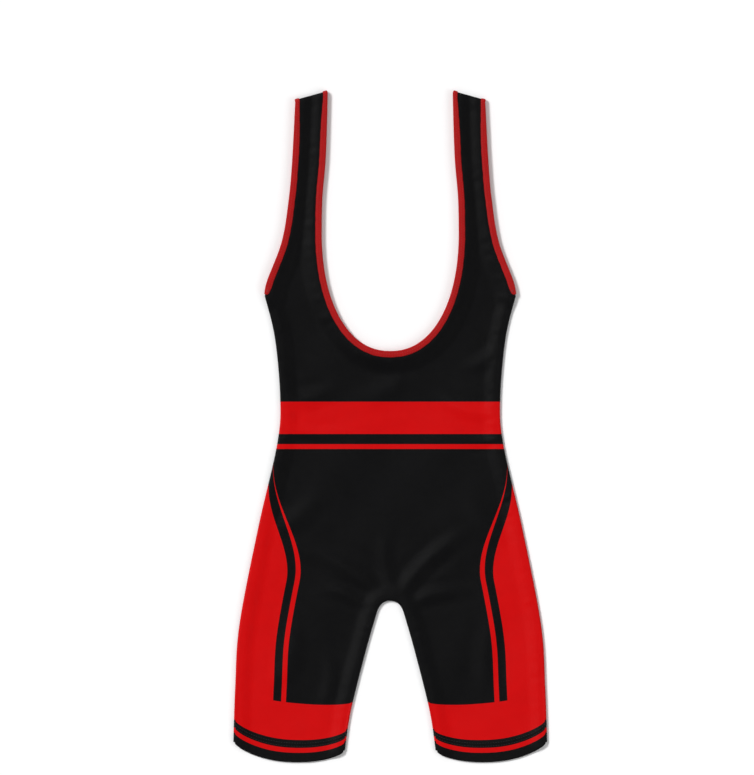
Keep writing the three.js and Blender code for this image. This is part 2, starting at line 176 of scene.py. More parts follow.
# One stitch: places along it, its height over the cloth and its girth there, in thread radii.
STITCH_SHARES = np.array([0.0, 0.14, 0.5, 0.86, 1.0])
STITCH_HEIGHT = np.array([-2.1, -0.1, 0.55, -0.1, -2.1]) * THREAD
STITCH_GIRTH = np.array([0.55, 1.0, 1.12, 1.0, 0.55]) * THREAD
STITCH_SIDES = 6
HEM_STITCH_ROWS = (0.0212, 0.0252)
BINDING_STITCH_ROWS = (0.225, 0.69)  # shares of the way from the lip to the fold
BINDING_DENTS = (0.00082, 0.00098)  # the tape's height over the cloth under those rows
STITCH_PITCH, STITCH_LENGTH = 0.0034, 0.0027
SEAM_STITCH, SEAM_STITCH_PITCH = 0.0028, 0.0022  # across the sewn edges
SEAM_STITCH_TURN, SEAM_STITCH_LEAN = 0.62, 0.0005  # radians each way from level, and metres
BARTACK_STITCHES, BARTACK_PITCH, BARTACK_IN, BARTACK_STITCH = 7, 0.00042, 0.0034, 0.0043
BARTACK_SPAN, BARTACK_HEIGHT = (0.06, 0.94), 0.00112

# ---- The studio ----
FLOOR_REACH, FLOOR_BELOW = 80, 0.0001
LIGHT_AT_HORIZON, LIGHT_AT_ZENITH = 0.62, 0.36
SUNS = (  # name, where it shines from, width in degrees, strength
    ("key_light", (-1.5, 1.1, 1.9), 14, 2.5),
    ("fill_light", (1.6, -0.6, 1.2), 30, 0.55),
)
# Shares of the singlet's length: the height of the picture, and where its middle is.
PICTURE_HEIGHT, PICTURE_MIDDLE, CAMERA_HEIGHT = 1.1526, (-0.0197, 0.0577), 2.0


def unit(v):
    return v / np.maximum(np.linalg.norm(v, axis=-1, keepdims=True), 1e-12)


def smooth(x, low, high):
    t = np.clip((x - low) / (high - low), 0, 1)
    return t * t * (3 - 2 * t)


def fade(x, low, high):
    return 1 - smooth(x, low, high)


def nearer(a, b, soft=0.0035):
    """The lesser of two distances, without a crease where they are equal."""
    return -soft * np.logaddexp(-a / soft, -b / soft)


def bump(x, low, high):
    """0 outside low to high, and 1 in the middle."""
    t = np.clip((x - low) / (high - low), 0, 1)
    return (4 * t * (1 - t)) ** 1.5


def lengths_along(points):
    return np.concatenate([[0], np.cumsum(np.linalg.norm(np.diff(points, axis=0), axis=1))])


def read_along(at, along, values):
    """Values that are known at some lengths along a line, read at other lengths."""
    return np.stack([np.interp(at, along, c) for c in values.T], -1)


# ---- outlines ----


class Path:
    """A line through dense points, read by its share of length."""

    def __init__(self, points):
        self.points = np.asarray(points, float)
        self.lengths = lengths_along(self.points)
        self.total = self.lengths[-1]

    def at(self, share):
        return read_along(np.clip(share, 0, 1) * self.total, self.lengths, self.points)

    def way(self, share, step=0.004):
        return unit(self.at(np.asarray(share) + step) - self.at(np.asarray(share) - step))

    def share_at_height(self, y):
        return float(np.interp(y, self.points[:, 1], self.lengths)) / self.total

    def nearest(self, plan):
        """How far each point is from the line, and how far along the line it is."""
        flat = plan.reshape(-1, 2)
        distance, along = np.empty(len(flat)), np.empty(len(flat))
        for i in range(0, len(flat), 2000):
            apart = flat[i : i + 2000, None] - self.points[None]
            squared = (apart**2).sum(-1)
            found = squared.argmin(1)
            distance[i : i + 2000] = np.sqrt(squared[np.arange(len(found)), found])
            along[i : i + 2000] = self.lengths[found]
        return distance.reshape(plan.shape[:-1]), along.reshape(plan.shape[:-1])


def spline(table, steps=480):
    """A smooth curve through the points of a short table."""
    p = np.array([row[1:] for row in table])
    t = np.linspace(0, len(p) - 1, steps + 1)
    i = np.minimum(t.astype(int), len(p) - 2)
    w = (t - i)[:, None]
    start, end = p[i], p[i + 1]
    leaving = (end - p[np.maximum(i - 1, 0)]) / 2
    arriving = (p[np.minimum(i + 2, len(p) - 1)] - start) / 2
    cubic = 2 * (start - end) + leaving + arriving
    square = 3 * (end - start) - 2 * leaving - arriving
    return cubic * w**3 + square * w**2 + leaving * w + start


def right_of(way):
    return np.stack([way[:, 1], -way[:, 0]], -1)


def moved_right(points, distance):
    return points + right_of(unit(np.gradient(points, axis=0))) * distance


def with_z(plan, z):
    return np.concatenate([plan, np.asarray(z)[..., None]], -1)


def in_frame(points, hand=1):
    """Points of the left half, on the half that hand says and measured from the frame's origin."""
    return points * [hand, 1, 1] + [0, HEM_Y, 0]


def neck_outline():
    angle = np.linspace(0, math.pi / 2, 420)
    x = NECK_HALF_WIDTH * np.sin(angle) ** (2 / NECK_POWER)
    y = NECK_WIDEST_AT - NECK_DEPTH * np.cos(angle) ** (2 / NECK_POWER)
    return np.concatenate([np.stack([x, y], -1), spline(STRAP_INNER)[1:]])


def inseam_outline():
    """The inseam, and the arch from it to the top of the crotch, as a cubic curve."""
    seam = spline(INSEAM)
    leaving = seam[-1] + unit(seam[-1] - seam[-2]) * ARCH_LEAVES
    arriving, top = np.array([ARCH_ARRIVES, CROTCH_TOP]), np.array([0, CROTCH_TOP])
    t = np.linspace(0, 1, 80)[1:, None]
    arch = (1 - t) ** 3 * seam[-1] + 3 * (1 - t) ** 2 * t * leaving
    arch = arch + 3 * (1 - t) * t**2 * arriving + t**3 * top
    return np.concatenate([seam, arch])


neck_cut = moved_right(neck_outline(), CUT_INSET)
neck_cut[0, 0] = 0
NECK = Path(neck_cut)
ARM = Path(moved_right(spline(ARMHOLE), -CUT_INSET))
SIDE = Path(spline(SIDE_SEAM))
CROTCH = Path(inseam_outline())

strap_inner, strap_outer = np.array(STRAP_INNER[-1][1:]), np.array(ARMHOLE[-1][1:])
ALONG_SHOULDER = unit(strap_outer - strap_inner)
OVER_SHOULDER = np.array([-ALONG_SHOULDER[1], ALONG_SHOULDER[0]])
FOLD_MIDDLE = (BOUND["front"] + BOUND["back"]) / 2
FOLD_RADIUS = (BOUND["front"] - BOUND["back"]) / 2
SHOULDER_TURN = CUT_INSET + PACKED_WALL / 2 + FOLD_RADIUS


def from_shoulder(plan):
    return -(plan - strap_inner) @ OVER_SHOULDER


# ---- the form of the cloth ----


def survey(plan):
    """Where each point of the cut lies: its distance from each edge, and how far along it."""
    found = {"plan": plan, "shoulder": from_shoulder(plan)}
    for name, path in (("side", SIDE), ("crotch", CROTCH), ("neck", NECK), ("arm", ARM)):
        found[name], found[name + "_along"] = path.nearest(plan)
    return found


def heights(s):
    """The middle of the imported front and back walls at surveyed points."""
    bound = fade(nearer(s["neck"], s["arm"]), *BOUND_RIDGE)
    sewn = fade(np.minimum.reduce([s["side"], s["crotch"], s["shoulder"]]), *SEAM_RIDGE)
    rises = {k: (SEAM_RISE[k] * sewn, (BOUND[k] - FLAT[k]) * bound) for k in FLAT}
    return {k: FLAT[k] + (seam**5 + edge**5) ** 0.2 for k, (seam, edge) in rises.items()}


def middle_and_radius(level):
    """The middle between the two walls, and the radius of the turn from one to the other."""
    return (level["front"] + level["back"]) / 2, (level["front"] - level["back"]) / 2


def seam_level(end):
    """The heights of the walls just inside a sewn edge."""
    return heights(survey(end["point"] - end["outward"] * SEAM_RIDGE[0] / 2))


def ripples(along, pitches, phase):
    """An uneven wave along an edge, from -1 to 1. Its size swells and fades along the way."""
    waves = [np.sin(2 * math.pi * along / p + phase * (k + 1)) for k, p in enumerate(pitches)]
    swell = 0.62 + 0.38 * np.sin(2 * math.pi * along / (7.3 * pitches[0]) + 2.1 * phase)
    return sum(waves) / len(waves) * swell


# The main folds of the front, in millimetres: from x, y to x, y, half width, and height.
FOLDS = [
    ("crotch to left hip", 14, 222, 98, 300, 8.5, 1.7),
    ("crotch to right hip", -16, 224, -118, 282, 10, 1.4),
    ("crotch to left thigh", 26, 206, 104, 222, 7.5, 1),
    ("crotch to right thigh", -28, 201, -92, 226, 7, 1.1),
    ("above the crotch", 3, 226, -6, 300, 8, 0.9),
    ("left waist", 132, 452, 58, 478, 8, 1.2),
    ("left waist, lower", 136, 421, 84, 424, 6.5, 0.8),
    ("right waist", -134, 472, -72, 486, 9, 1.3),
    ("right waist, lower", -137, 436, -48, 431, 7.5, 0.9),
    ("left ribs", 138, 540, 94, 512, 8, 0.9),
    ("right ribs", -140, 549, -104, 513, 7, 0.8),
    ("left thigh", 122, 90, 140, 205, 11, 1),
    ("right thigh", -140, 105, -128, 190, 12, 1.1),
    ("right thigh, inner", -86, 75, -82, 150, 8, 0.7),
    ("left hip", 148, 285, 100, 345, 11, 1),
    ("right hip", -152, 300, -90, 352, 10.5, 0.9),
    ("chest", 20, 500, -50, 470, 12, 0.8),
]


def folds(plan):
    """Soft ridges that rise and die away along their length, with a shallow trough at each side."""
    total = np.zeros(plan.shape[:-1])
    for _, *numbers in FOLDS:
        x0, y0, x1, y1, width, height = (number / 1000 for number in numbers)
        start, end = np.array([x0, y0]), np.array([x1, y1])
        way, length = unit(end - start), np.linalg.norm(end - start)
        along = (plan - start) @ way / length
        bend = FOLD_BEND * np.sin(math.pi * np.clip(along, 0, 1)) * np.sign(height + x0)
        across = ((plan - start) @ np.array([-way[1], way[0]]) - bend) / width
        ridge = np.exp(-(across**2)) - 0.35 * np.exp(-(((np.abs(across) - 1.9) / 0.9) ** 2))
        total += height * ridge * smooth(along, -0.12, 0.22) * fade(along, 0.45, 1.15)
    return total


def slack(plan):
    """The slow, uneven lie of loose cloth."""
    x, y = plan[..., 0], plan[..., 1]
    return (
        0.00042 * np.sin(31 * x + 17 * y + 0.4) * np.sin(23 * y - 9 * x + 1.3)
        + 0.00028 * np.sin(58 * x - 41 * y + 2.2)
        + 0.00018 * np.sin(97 * y + 66 * x + 0.7)
    )


def relief(s, above_hem, hand, layer):
    """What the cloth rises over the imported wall, or sinks. hand is 1 on the left half, else -1."""
    plan = s["plan"] * [hand, 1]
    along = {
        "neck": hand * s["neck_along"],
        "arm": s["arm_along"] + 0.7 * hand,
        "side": s["side_along"] + 0.9 * hand,
        "crotch": hand * (CROTCH.total - s["crotch_along"]),
    }
    rise = np.zeros(plan.shape[:-1])
    for edge, (pitches, phase, height, band) in PUCKERS.items():
        rise += height * ripples(along[edge], pitches, phase) * bump(s[edge], *band)
    bound, seam = nearer(s["neck"], s["arm"]), np.minimum(s["side"], s["crotch"])
    calm = smooth(bound, *CALM_BY_BINDING) * smooth(seam, *CALM_BY_SEAM)
    calm = calm * smooth(s["shoulder"], *CALM_BY_SHOULDER)
    lie = folds(plan) + slack(plan) if layer == "front" else np.abs(slack(plan)) * BACK_SLACK
    rise += lie * calm * smooth(above_hem, *CALM_ON_HEM)
    if layer == "front":
        past_hem = 1 - fade(above_hem, *HEM_STEP_AT)
        rise -= HEM_STEP * past_hem * fade(above_hem, *HEM_STEP_FADES)
    slanted = plan[..., 0] + ROPING_SLANT * above_hem
    roping = np.sin(2 * math.pi * slanted / ROPING_PITCH)
    rise += ROPING * roping * bump(above_hem, 0.001, HEM_STITCH_ROWS[0])
    groove = sum(np.exp(-(((above_hem - row) / GROOVE_WIDTH) ** 2)) for row in HEM_STITCH_ROWS)
    if layer == "front":
        return rise - GROOVE * groove
    # The back can't sink into the floor, and it lies level beside the bindings.
    level_off = smooth(bound, *BACK_LEVEL_BY_BINDING) * (1 - groove / 1.1)
    return np.maximum(rise, 0) * level_off + BACK_GROOVE * groove


# ---- the grid of one half ----


def row_ends(path, start, end, shares, kind, outward_is):
    """Where rows end on a path, which is sewn, bound or the centre line, and the way out there."""
    share = start + (end - start) * shares
    outward = right_of(path.way(share)) * (1 if outward_is == "right" else -1)
    point = path.at(share)
    on_centre = np.abs(point[:, 0]) < 1e-9
    point[on_centre, 0] = 0
    outward[on_centre] = np.stack([0 * outward[on_centre, 0], np.sign(outward[on_centre, 1])], -1)
    return {"point": point, "outward": outward, "kind": kind}


def hem_bow(plan, inner, outer, above_hem):
    """How far a point hangs below the straight line between the hem's corners."""
    span = outer["point"][:, None, 0] - inner["point"][:, None, 0]
    share = np.clip((plan[..., 0] - inner["point"][:, None, 0]) / span, 0, 1)
    inner_y, outer_y = INSEAM[0][2], SIDE_SEAM[0][2]
    low = share < HEM_LOWEST_AT
    corner = np.where(low, inner_y, outer_y)
    reach = np.where(low, HEM_LOWEST_AT, 1 - HEM_LOWEST_AT)
    part = np.abs(share - HEM_LOWEST_AT) / reach
    curve = (corner - HEM_CORNER_RISE) * part**HEM_POWER + HEM_CORNER_RISE * part**HEM_CORNER_POWER
    straight = inner_y + (outer_y - inner_y) * share
    return (straight - curve) * fade(above_hem, *HEM_BOW_FADES)[:, None]


def turned_columns(end):
    """Where the flat cloth ends at a sewn edge, and the turned points beyond it."""
    level = seam_level(end)
    _, radius = middle_and_radius(level)
    start = end["point"] - end["outward"] * (PACKED_WALL / 2 + radius)[:, None]
    reach = radius[:, None] * np.cos(TURN_SLOPES)
    plan = start[:, None] + end["outward"][:, None] * reach[..., None]
    unrolled = (radius + OUTSIDE)[:, None] * (math.pi / 2 - TURN_SLOPES)
    return start, {
        "plan": plan,
        "slope": np.broadcast_to(TURN_SLOPES, reach.shape),
        "outward": np.broadcast_to(end["outward"][:, None], plan.shape),
        "unrolled": start[:, None] + end["outward"][:, None] * unrolled[..., None],
        **{k: np.repeat(v[:, None], len(TURN_SLOPES), 1) for k, v in level.items()},
    }


def flat_columns(plan):
    slope = np.full(plan.shape[:-1], math.pi / 2)
    flat = {"plan": plan, "slope": slope, "outward": np.zeros(plan.shape), "unrolled": plan}
    return {**flat, **heights(survey(plan))}


def joined(grids, axis):
    return {k: np.concatenate([g[k] for g in grids], axis) for k in grids[0]}


def rows_between(inner, outer, above_hem=None):
    """Rows of points from an inner to an outer edge, with turned ends where those are sewn."""
    starts, ends = {}, {}
    count = len(TURN_SLOPES)
    for name, end in (("inner", inner), ("outer", outer)):
        if end["kind"] == "seam":
            starts[name], ends[name] = turned_columns(end)
        elif name == "outer":
            reach = unit(end["point"] - inner["point"]) * EDGE_COLUMNS_REACH
            starts[name] = end["point"] - reach
            shares = np.arange(1, count + 1)[:, None] / count
            ends[name] = flat_columns(starts[name][:, None] + reach[:, None] * shares)
        else:
            starts[name] = end["point"]
    u = np.linspace(0, 1, FLAT_COLUMNS)
    u = u - EDGE_CROWDING * np.sin(2 * math.pi * u) / (2 * math.pi)
    plan = starts["inner"][:, None] + (starts["outer"] - starts["inner"])[:, None] * u[:, None]
    if above_hem is not None:
        plan[..., 1] -= hem_bow(plan, inner, outer, above_hem)
    blocks = [flat_columns(plan), ends["outer"]]
    if "inner" in ends:
        blocks.insert(0, {k: v[:, ::-1] for k, v in ends["inner"].items()})
    rows = joined(blocks, 1)
    above = np.full(len(plan), FAR_ABOVE_HEM) if above_hem is None else above_hem
    rows["above_hem"] = np.broadcast_to(above[:, None], rows["slope"].shape)
    return rows


def leg_rows(above_hem):
    """Rows at these distances above the hem, which reach the crotch and the crease at the side."""
    crease = SIDE.share_at_height(CREASE_AT_SIDE)
    outer_length = crease * SIDE.total
    t = above_hem / outer_length
    ratio = outer_length / CROTCH.total
    inner_share = ratio * t - (ratio - 1) * t**2
    return rows_between(
        row_ends(CROTCH, 0, 1, inner_share, "seam", "left"),
        row_ends(SIDE, 0, crease, t, "seam", "right"),
        above_hem,
    )


def hem_fold_rows(first_outer, hem_rows):
    """The rows of the turned-in hem, from its cut edge to the last of the fold."""
    thin, thick = HEM_FOLD
    below_edge = hem_rows[1:][hem_rows[1:] < HEM_ALLOWANCE - 0.0002]
    inside = np.concatenate([[HEM_ALLOWANCE], below_edge[::-1]])
    here = np.concatenate([inside, np.full(len(HEM_FOLD_ANGLES), first_outer)])
    rows = leg_rows(here)
    inner_offset = np.full(len(inside), HEM_FOLD_AT)
    sin, cos = np.sin(HEM_FOLD_ANGLES), np.cos(HEM_FOLD_ANGLES)
    turn = thick * (math.pi / 2 - HEM_FOLD_ANGLES)
    past_hem = np.concatenate([math.pi * thick + inside, turn]) + first_outer
    rows["unrolled"][..., 1] -= (past_hem + here)[:, None] * HEM_SLANT
    faces = {
        "outside": np.concatenate([inner_offset - thick, HEM_FOLD_AT + thick * sin]),
        "inside": np.concatenate([inner_offset - thin, HEM_FOLD_AT + thin * sin]),
        "push_outside": np.concatenate([0 * inside, thick * cos]),
        "push_inside": np.concatenate([0 * inside, thin * cos]),
    }
    return rows, faces


def plain_faces(count):
    faces = {"outside": OUTSIDE, "inside": INSIDE, "push_outside": 0.0, "push_inside": 0.0}
    return {k: np.full(count, v) for k, v in faces.items()}


def shoulder_rows(top):
    """The rows that fold over at the shoulder, beyond the strap's last row."""
    _, radius = middle_and_radius(top)
    over = radius[..., None] * OVER_SHOULDER
    arc = (radius + OUTSIDE)[..., None] * OVER_SHOULDER
    start = top["plan"] + (FOLD_RADIUS - radius)[..., None] * OVER_SHOULDER
    rows = {k: np.repeat(v, len(TURN_SLOPES), 0) for k, v in top.items()}
    rows["plan"] = start + over * np.cos(TURN_SLOPES)[:, None, None]
    rows["unrolled"] = top["plan"] + arc * (math.pi / 2 - TURN_SLOPES)[:, None, None]
    rows["slope"] = np.repeat(TURN_SLOPES[:, None], top["slope"].shape[1], 1)
    rows["outward"] = np.broadcast_to(OVER_SHOULDER, rows["plan"].shape)
    return rows


def half_grid():
    """The leg, up to the row from the crotch, and the upper block above it, each with its faces."""
    first_outer = HEM_FOLD[1]
    crease = SIDE.share_at_height(CREASE_AT_SIDE)
    hem_rows = np.linspace(first_outer, HEM_ROWS_REACH, HEM_ROWS)
    far_rows = np.linspace(HEM_ROWS_REACH, crease * SIDE.total, LEG_ROWS + 1)[1:]
    above = np.concatenate([hem_rows, far_rows])
    hem, hem_faces = hem_fold_rows(first_outer, hem_rows)
    outer_ply = leg_rows(above)
    leg = joined([hem, outer_ply], 0)
    leg_faces = joined([hem_faces, plain_faces(len(above))], 0)
    near_hem = leg_rows(np.array([first_outer, first_outer + 0.004]))["plan"]
    leg["down"] = np.broadcast_to(unit(near_hem[0] - near_hem[1]), leg["plan"].shape)

    crotch_row = {k: v[-1:, len(TURN_SLOPES) :] for k, v in outer_ply.items()}
    centre = Path([crotch_row["plan"][0, 0], neck_cut[0]])
    neck_row = SIDE.share_at_height(NECK_ROW_AT_SIDE)
    steps = np.arange(1, BODY_ROWS + 1) / (BODY_ROWS + 1)
    body = rows_between(
        row_ends(centre, 0, 1, steps, "centre", "left"),
        row_ends(SIDE, crease, neck_row, steps, "seam", "right"),
    )
    steps = np.arange(CHEST_ROWS) / CHEST_ROWS
    chest = rows_between(
        row_ends(NECK, 0, UNDERARM_ON_NECK, steps, "bound", "left"),
        row_ends(SIDE, neck_row, 1, steps, "seam", "right"),
    )
    steps = np.linspace(0, 1, STRAP_ROWS + 1)
    strap = rows_between(
        row_ends(NECK, UNDERARM_ON_NECK, 1 - SHOULDER_TURN / NECK.total, steps, "bound", "left"),
        row_ends(ARM, 0, 1 - SHOULDER_TURN / ARM.total, steps, "bound", "right"),
    )
    shoulder = shoulder_rows({k: v[-1:] for k, v in strap.items()})
    upper = joined([crotch_row, body, chest, strap, shoulder], 0)
    upper["down"] = np.zeros(upper["plan"].shape)
    first_chest_row = 1 + len(body["plan"])
    return (leg, leg_faces), (upper, plain_faces(len(upper["plan"]))), first_chest_row


def turned(grid):
    """Which points are on a turned edge, where the cloth is no longer flat."""
    return grid["slope"] < math.pi / 2 - 1e-6


def placed(grid, layer, offset, push, rise):
    """The points of a grid in space. offset is out of the cloth, and push is out of the hem."""
    up = 1 if layer == "front" else -1
    sin, cos = np.sin(grid["slope"]), np.cos(grid["slope"])
    middle, radius = middle_and_radius(grid)
    on_turn = middle + up * np.maximum(radius * sin, GAP / 2)
    z = np.where(turned(grid), on_turn, grid[layer] + rise)
    away = with_z(grid["outward"] * cos[..., None], up * sin)
    plan = grid["plan"] + grid["down"] * push[:, None, None]
    return with_z(plan, z) + away * offset[:, None, None]


# ---- meshes ----


def mesh_object(name, points, faces, material):
    mesh = bpy.data.meshes.new(name)
    mesh.from_pydata(points.tolist(), [], faces)
    piece = bpy.data.objects.new(name, mesh)
    bpy.context.scene.collection.objects.link(piece)
    mesh.materials.append(material)
    mesh.polygons.foreach_set("use_smooth", [True] * len(mesh.polygons))
    return piece


def set_numbers(mesh, name, values):
    """Gives each point of a mesh a number that its material reads."""
    mesh.attributes.new(name, "FLOAT", "POINT").data.foreach_set("value", values)


def closed(mesh, weld=False):
    """Turns every face of a closed mesh outwards, after joining points that meet."""
    work = bmesh.new()
    work.from_mesh(mesh)
    if weld:
        bmesh.ops.remove_doubles(work, verts=work.verts, dist=2e-6)
    bmesh.ops.recalc_face_normals(work, faces=work.faces)
    work.to_mesh(mesh)
    work.free()


def grid_quads(rows, columns, first=0):
    at = np.arange(rows * columns).reshape(rows, columns) + first
    a, b, c, d = at[:-1, :-1], at[:-1, 1:], at[1:, 1:], at[1:, :-1]
    return np.stack([a, b, c, d], -1).reshape(-1, 4), at


def free_edges(is_leg, first_chest_row, hand):
    """The grid's edges where its two faces are joined, and the way out over each in the map."""
    inner_rows = slice(None) if is_leg else slice(first_chest_row, None)
    end, way = (0, (0, -1)) if is_leg else (-1, (0, 1))
    return [
        ((slice(None), -1), (hand, 0)),
        ((inner_rows, 0), (-hand, 0)),
        ((end, slice(None)), way),
    ]


def panel(name, layer, grids, first_chest_row, material):
    """A panel: both halves of the grid, as a cloth with two faces, closed along its free edges."""
    points, faces, map_places, above, from_side = [], [], [], [], []
    count = 0
    for hand in (1, -1):
        for is_leg, (grid, offsets) in zip((True, False), grids):
            s = survey(grid["plan"])
            rise = np.where(turned(grid), 0, relief(s, grid["above_hem"], hand, layer))
            is_outer_ply = (offsets["outside"] > 0)[:, None]
            at, on_map = {}, {}
            for face, sign, at_half in (("outside", 1, 0.25), ("inside", -1, 0.75)):
                p = placed(grid, layer, offsets[face], offsets["push_" + face], rise)
                points.append(in_frame(p, hand).reshape(-1, 3))
                on_map[face] = grid["unrolled"] * [hand, 1] * MAP_SCALE + [at_half, MAP_MARGIN]
                quads, at[face] = grid_quads(*grid["slope"].shape, count)
                if hand * sign * (1 if layer == "front" else -1) < 0:
                    quads = quads[:, ::-1]
                faces.append(quads)
                map_places.append(on_map[face].reshape(-1, 2)[quads - count])
                shows = is_outer_ply & (face == "outside")
                above.append(np.where(shows, grid["above_hem"], NOT_PRINTED).ravel())
                from_side.append(s["side"].ravel())
                count += grid["slope"].size
            for edge, way in free_edges(is_leg, first_chest_row, hand):
                a, b = at["outside"][edge], at["inside"][edge]
                faces.append(np.stack([a[:-1], a[1:], b[1:], b[:-1]], -1))
                near = on_map["outside"][edge]
                far = near + np.array(way) * CLOTH * MAP_SCALE
                map_places.append(np.stack([near[:-1], near[1:], far[1:], far[:-1]], 1))
    piece = mesh_object(name, np.concatenate(points), np.concatenate(faces).tolist(), material)
    mesh = piece.data
    set_numbers(mesh, "above_hem", np.concatenate(above))
    set_numbers(mesh, "from_side", np.concatenate(from_side))
    bake_map = mesh.uv_layers.new(name="OFBake")
    bake_map.uv.foreach_set("vector", np.concatenate(map_places).astype(np.float32).ravel())
    closed(mesh, weld=True)
    mesh.set_sharp_from_angle(angle=math.radians(50))
    return piece


# ---- bindings ----

CAVITY_POINTS = 6  # the last points of a tape's section line its inside


def binding_section(lip, swell):
    """The section of a folded tape: distance into the cloth, and distance out from its middle.

    Its top and bottom have a lip at the edge and a dent under each row of stitches.
    """
    thick = (PACKED_WALL / 2 + GAP + PLY) * swell
    fold = np.radians([90, 70, 50, 30, 10, -10, -30, -50, -70, -90])
    round_at, reach = 0.0007, 0.0007 + CUT_INSET
    size = lip / (BINDING_WIDTH - CUT_INSET)
    first, second = (lip * (1 - row) for row in BINDING_STITCH_ROWS)
    first_dent, second_dent = BINDING_DENTS
    top = [
        (lip - 0.00005 * size, OUTSIDE + 0.00042),
        (lip - 0.00035 * size, OUTSIDE + 0.00072),
        (lip - 0.0009 * size, OUTSIDE + 0.00092),
        (first, OUTSIDE + first_dent),
        (first - 0.0008 * size, OUTSIDE + 0.00112),
        ((first + second) / 2, OUTSIDE + 0.00124),
        (second + 0.0007 * size, OUTSIDE + 0.00116),
        (second, OUTSIDE + second_dent),
    ]
    bend = [(round_at - reach * math.cos(a), thick * math.sin(a)) for a in fold]
    bottom = [(a, -o) for a, o in reversed(top)]
    cavity = [
        (lip, -OUTSIDE - 0.00006),
        (0.002, -OUTSIDE - 0.00008),
        (-0.0002, -OUTSIDE - 0.00008),
        (-0.0002, OUTSIDE + 0.00008),
        (0.002, OUTSIDE + 0.00008),
        (lip, OUTSIDE + 0.00006),
    ]
    return np.array(top + bend + bottom + cavity)


def binding_width(plan):
    narrow = fade(from_shoulder(plan), 0, BINDING_NARROWS_OVER)
    return BINDING_WIDTH + (BINDING_WIDTH_AT_SHOULDER - BINDING_WIDTH) * narrow


def binding_stations(path, into_is, spacing=0.0016):
    """Stations along a cut edge: up the front, over the shoulder and down the back."""
    end = 1 - SHOULDER_TURN / path.total
    share = np.linspace(0, end, int(path.total / spacing))
    plan = path.at(share)
    into = right_of(path.way(share)) * into_is
    if into_is > 0:
        into[0] = (0, -1)
    level_off = smooth(from_shoulder(plan), 0.004, 0.022)[:, None]
    into = unit(into * level_off + ALONG_SHOULDER * into_is * (1 - level_off))
    turn = np.radians(np.arange(78, -79, -12))
    over = plan[-1] + OVER_SHOULDER * FOLD_RADIUS * np.cos(turn)[:, None]
    fold = with_z(over, FOLD_MIDDLE + FOLD_RADIUS * np.sin(turn))
    fold_away = with_z(OVER_SHOULDER * np.cos(turn)[:, None], np.sin(turn))
    front, back = (with_z(plan, np.full(len(plan), BOUND[k])) for k in ("front", "back"))
    up = np.broadcast_to([0.0, 0.0, 1.0], (len(plan), 3))
    turned_into = np.repeat(into[-1:], len(turn), 0)
    into = np.concatenate([into, turned_into, into[::-1]])
    stations = {
        "point": np.concatenate([front, fold, back[::-1]]),
        "away": np.concatenate([up, fold_away, -up[::-1]]),
        "into": with_z(into, np.zeros(len(into))),
        "lip": binding_width(np.concatenate([plan, over, plan[::-1]])) - CUT_INSET,
    }
    if into_is < 0:
        from_end = lengths_along(stations["point"])
        from_end = np.minimum(from_end, from_end[-1] - from_end)
        stations["lip"] -= TAPER * (1 - np.sqrt(np.clip(from_end / TAPER_OVER, 0, 1)))
    return stations


def mirrored(stations):
    flip = np.array([-1, 1, 1])
    return {k: v * flip if v.ndim == 2 else v for k, v in stations.items()}


def neck_stations():
    left = binding_stations(NECK, 1)
    right = {k: v[1:-1][::-1] for k, v in mirrored(left).items()}
    return {k: np.concatenate([left[k], right[k]]) for k in left}


def arm_stations(hand):
    left = binding_stations(ARM, -1)
    return left if hand > 0 else mirrored(left)


def binding(name, stations, is_ring, material):
    """A folded tape swept along its stations, a little uneven, as sewn elastic tape is."""
    along = lengths_along(stations["point"])
    total = along[-1]
    if is_ring:
        total += np.linalg.norm(stations["point"][0] - stations["point"][-1])
    turns = 2 * math.pi * along / total
    wavy = sum(
        np.sin(round(total / pitch) * turns + phase) * size for pitch, phase, size in TAPE_WAVES
    )
    lips, swells = stations["lip"] + TAPE_UNEVEN * wavy, 1 - TAPE_THINS * abs(wavy)
    sections = np.array([binding_section(lip, swell) for lip, swell in zip(lips, swells)])
    points = (
        stations["point"][:, None]
        + stations["into"][:, None] * sections[..., :1]
        + stations["away"][:, None] * sections[..., 1:]
    )
    count, sides = points.shape[:2]
    at = np.arange(count * sides).reshape(count, sides)
    here, ahead = (at, np.roll(at, -1, 0)) if is_ring else (at[:-1], at[1:])
    faces = np.stack([here, np.roll(here, -1, 1), np.roll(ahead, -1, 1), ahead], -1)
    faces = faces.reshape(-1, 4).tolist()
    if not is_ring:
        faces += end_caps(at[0], sides) + end_caps(at[-1], sides)
    piece = mesh_object(name, in_frame(points.reshape(-1, 3)), faces, material)
    mesh = piece.data
    if is_ring:
        along = np.minimum(along, total - along)  # so that the ribs have no join
    set_numbers(mesh, "along", np.repeat(along, sides))
    set_numbers(mesh, "around", np.tile(lengths_along(sections[0]), count))
    closed(mesh)
    mesh.set_sharp_from_angle(angle=math.radians(62))
    return piece


def end_caps(ring, sides):
    """The closed end of a tape: quads between its outer skin and the cavity, round the section."""
    outer = ring[: sides - CAVITY_POINTS].tolist()
    inner = ring[sides - CAVITY_POINTS :][::-1].tolist()
    faces = []
    reached = 0
    for i in range(len(outer) - 1):
        target = round((i + 1) / (len(outer) - 1) * (len(inner) - 1))
        next_inner = [inner[target]] if target > reached else []
        faces.append([outer[i], outer[i + 1], *next_inner, inner[reached]])
        reached = target
    return faces


# ---- threads ----


